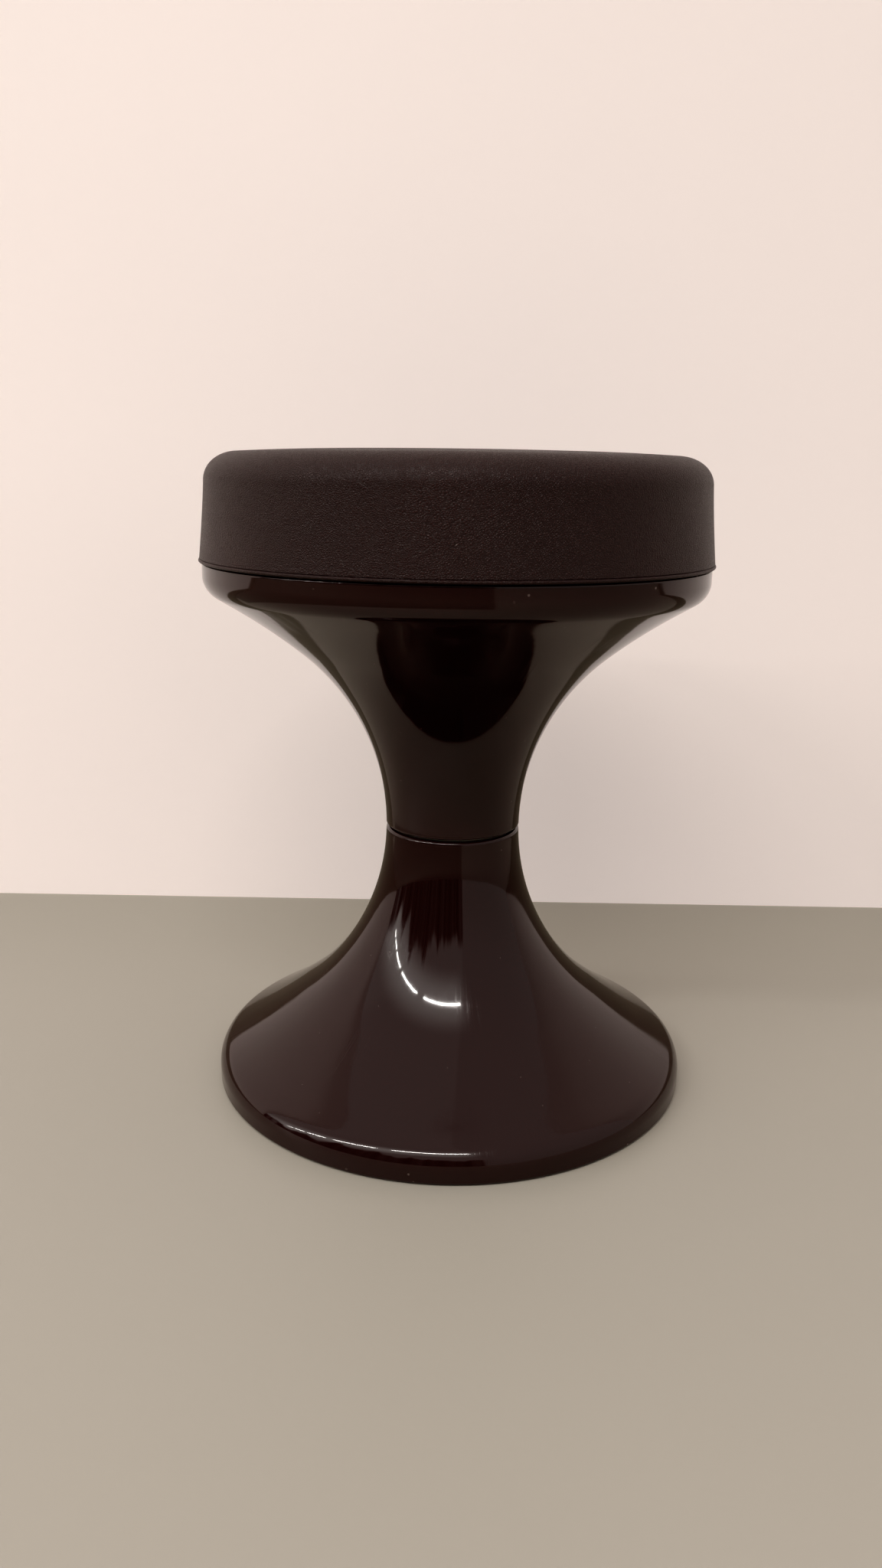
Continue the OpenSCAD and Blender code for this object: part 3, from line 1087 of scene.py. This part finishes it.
@dataclass(frozen=True)
class CoverTrial:
    """A cloth simulation that blows the cover up a little, held below a height."""

    held_below: float
    stiffness: float = 40.0
    bending: float = 4.0
    pressure: float = 3.0
    quality: int = 6
    frames: int = 12

    def cloth(self, trial: Object) -> None:
        """Gives the trial piece its cloth, which its vertex group holds still."""
        cloth = trial.modifiers.new("cloth", "CLOTH")
        settings = cloth.settings
        settings.quality = self.quality
        settings.tension_stiffness = settings.compression_stiffness = self.stiffness
        settings.bending_stiffness = self.bending
        settings.use_pressure = True
        settings.uniform_pressure_force = self.pressure
        settings.vertex_group_mass = "held"
        settings.effector_weights.gravity = 0.0
        cloth.point_cache.frame_start, cloth.point_cache.frame_end = 1, self.frames

    def run(self, grid: np.ndarray) -> np.ndarray:
        """Runs the simulation.

        Args:
            grid: segments x rows x 3, ending on the axis.

        Returns:
            The moved grid.
        """
        surface, number = net(grid, False, True)
        mesh = bpy.data.meshes.new("cover_trial")
        mesh.from_pydata(surface.points.tolist(), [], surface.faces)
        trial = bpy.data.objects.new("cover_trial", mesh)
        scene = bpy.context.scene
        scene.collection.objects.link(trial)
        still = np.flatnonzero(surface.points[:, 2] < self.held_below)
        trial.vertex_groups.new(name="held").add(still.tolist(), 1.0, "REPLACE")
        self.cloth(trial)
        for frame_number in range(1, self.frames + 1):
            scene.frame_set(frame_number)
        shown = trial.evaluated_get(bpy.context.evaluated_depsgraph_get()).to_mesh()
        moved = np.zeros(len(shown.vertices) * 3, np.float32)
        shown.vertices.foreach_get("co", moved)
        bpy.data.objects.remove(trial)
        scene.frame_set(1)
        return moved.reshape(-1, 3)[number].astype(float)


# ---- hardware


@dataclass
class Hardware:
    """CAD nodes that keep their meshes and get a finish each."""

    nodes: dict[str, Object]
    cap_colour: Colour = (0.020, 0.0055, 0.0055)
    steel: tuple[str, ...] = (
        *("pivot_bolt", "bolt_head_washer", "pivot_sleeve", "top_washer"),
        *("spring_washer", "lock_nut", "ring_screws", "cover_staples"),
    )
    acetal: tuple[str, ...] = ("thrust_ring", "pivot_bush", "nut_insert")
    satin: tuple[str, ...] = ("nut_cap", "locating_ring")
    rubber: tuple[str, ...] = ("rubber_feet",)
    wood: tuple[str, ...] = ("seat_board",)

    def dress(self) -> None:
        """Puts each finish on its nodes."""
        for finish, names in (
            (ZincSteel(), self.steel),
            (NaturalAcetal(), self.acetal),
            (SatinMoulding("satin_maroon", self.cap_colour), self.satin),
            (BlackRubber(), self.rubber),
            (Plywood(), self.wood),
        ):
            material = finish.material()
            for name in names:
                for slot in self.nodes[name].material_slots:
                    slot.material = material
                LOG.info("%s dressed in %s", name, finish.name)


# ---- studio


@dataclass
class Studio:
    """Plain floor, wall behind, soft room light, row of ceiling tubes and the camera."""

    eye: tuple[float, float, float] = (0.0, -0.789, 0.417)
    down: float = math.radians(14.89)
    left: float = math.radians(0.61)
    roll: float = math.radians(0.75)
    focal_share: float = 1540 / 2048
    wall_y: float = 0.325
    tube_count: int = 5
    tube_pitch: float = 1.81
    tube_length: float = 1.45
    tube_width: float = 0.036
    tube_start: float = 0.40
    tube_y: float = -1.75
    tube_z: float = 2.4
    tube_radiance: float = 150.0
    skirting: float = 0.104
    shade_mat_near: float = 0.56
    shade_mat_left: float = -2.0
    shade_mat_right: float = 0.27
    toe: float = 0.05

    def camera(self) -> None:
        """Makes the camera: level, then tilted down, turned left and rolled."""
        data = bpy.data.cameras.new("camera")
        data.sensor_width = 36.0
        data.lens = data.sensor_width * self.focal_share
        data.clip_start, data.clip_end = 0.02, 60.0
        camera = bpy.data.objects.new("camera", data)
        turn = Matrix.Rotation(self.left, 4, "Z")
        tilt = Matrix.Rotation(math.pi / 2 - self.down, 4, "X")
        roll = Matrix.Rotation(self.roll, 4, "Z")
        camera.matrix_world = Matrix.Translation(Vector(self.eye)) @ turn @ tilt @ roll
        bpy.context.scene.collection.objects.link(camera)
        bpy.context.scene.camera = camera

    def card(self, name: str, corners: np.ndarray, material: Material) -> Object:
        """Makes a flat stage piece that faces the side where its corners run anticlockwise."""
        card = Surface(corners, [list(range(len(corners)))]).to_object(name, material)
        return card

    def room(self) -> None:
        """Makes the floor and the wall behind, and two stages that only the gloss sees.

        These are a grey skirting along the wall and a dark mat of painted shade on the floor in front,
        where the floor lies in shade.
        """
        half, high, y = 12.0, 5.0, self.wall_y
        ground = PlainGround("pale_floor", (0.41, 0.385, 0.335), 0.5)
        floor = [(-half, -half, 0), (half, -half, 0), (half, half, 0), (-half, half, 0)]
        self.card("studio_floor", np.array(floor, float), ground.material())
        wall = np.array([(-half, y, 0), (half, y, 0), (half, y, high), (-half, y, high)])
        plaster = PlainGround("pale_wall", (0.84, 0.77, 0.745), 0.7, glow=0.26)
        self.card("studio_wall", wall, plaster.material())
        band = wall * (1, 1, self.skirting / high) - (0.0, 2 * MM, 0.0)
        grey = PlainGround("grey_skirting", (0.27, 0.25, 0.20), 0.7)
        stages = [self.card("studio_skirting", band, grey.material())]
        # a dark sheet of painted shade on the floor in front, which only glossy rays see
        turn = np.linspace(self.shade_mat_left, self.shade_mat_right, 40)[:, None] - np.pi / 2
        ring = np.concatenate([np.cos(turn), np.sin(turn), 0.0 * turn], 1)
        sector = np.vstack([ring * half, ring[::-1] * self.shade_mat_near]) + (0.0, 0.0, 1 * MM)
        cloth = PlainGround("painted_shade_mat", (0.20, 0.185, 0.155), 0.9)
        stages.append(self.card("studio_painted_shade_mat", sector, cloth.material()))
        for stage in stages:
            stage.visible_camera = stage.visible_diffuse = stage.visible_shadow = False

    def lights(self) -> None:
        """Hangs the row of tubes, sets the room's light and deepens the shadows' tone.

        The tone curve is x^2 / (x + toe), which leaves bright tones nearly as they are.
        """
        scene = bpy.context.scene
        area = self.tube_length * self.tube_width
        for number in range(self.tube_count):
            data = bpy.data.lights.new(f"tube_{number}", "AREA")
            data.shape = "RECTANGLE"
            data.size, data.size_y = self.tube_length, self.tube_width
            data.energy = self.tube_radiance * math.pi * area
            data.color = (1.0, 0.96, 0.92)
            tube = bpy.data.objects.new(data.name, data)
            x = self.tube_start - number * self.tube_pitch - self.tube_length / 2
            tube.location = (x, self.tube_y, self.tube_z)
            scene.collection.objects.link(tube)
        scene.world = RoomLight().world()
        view = scene.view_settings
        view.view_transform = "Standard"
        view.use_curve_mapping = True
        curve = view.curve_mapping.curves[3]
        for level in (0.01, 0.02, 0.04, 0.08, 0.16, 0.32, 0.64):
            curve.points.new(level, level**2 / (level + self.toe))
        view.curve_mapping.update()


# ---- main


def main() -> None:
    """Builds the stool round its frame, piece by piece."""
    logging.basicConfig(level=logging.INFO, format="%(name)s: %(message)s")
    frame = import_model()
    studio = Studio()
    studio.camera()
    cover_low, cover_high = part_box("seat_cover")
    board_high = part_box("seat_board")[1]
    pad = SeatPad(cover_low.z, cover_high.z, board_high.z, cover_high.x)
    for maker in (BaseShell().build, BowlShell().build, pad.build_cover, pad.build_foam, pad.build_liner):
        piece = maker()
        LOG.info("%s: %d faces", piece.name, len(piece.data.polygons))
    Hardware(frame["nodes"]).dress()
    studio.room()
    studio.lights()


if __name__ == "__main__":
    main()
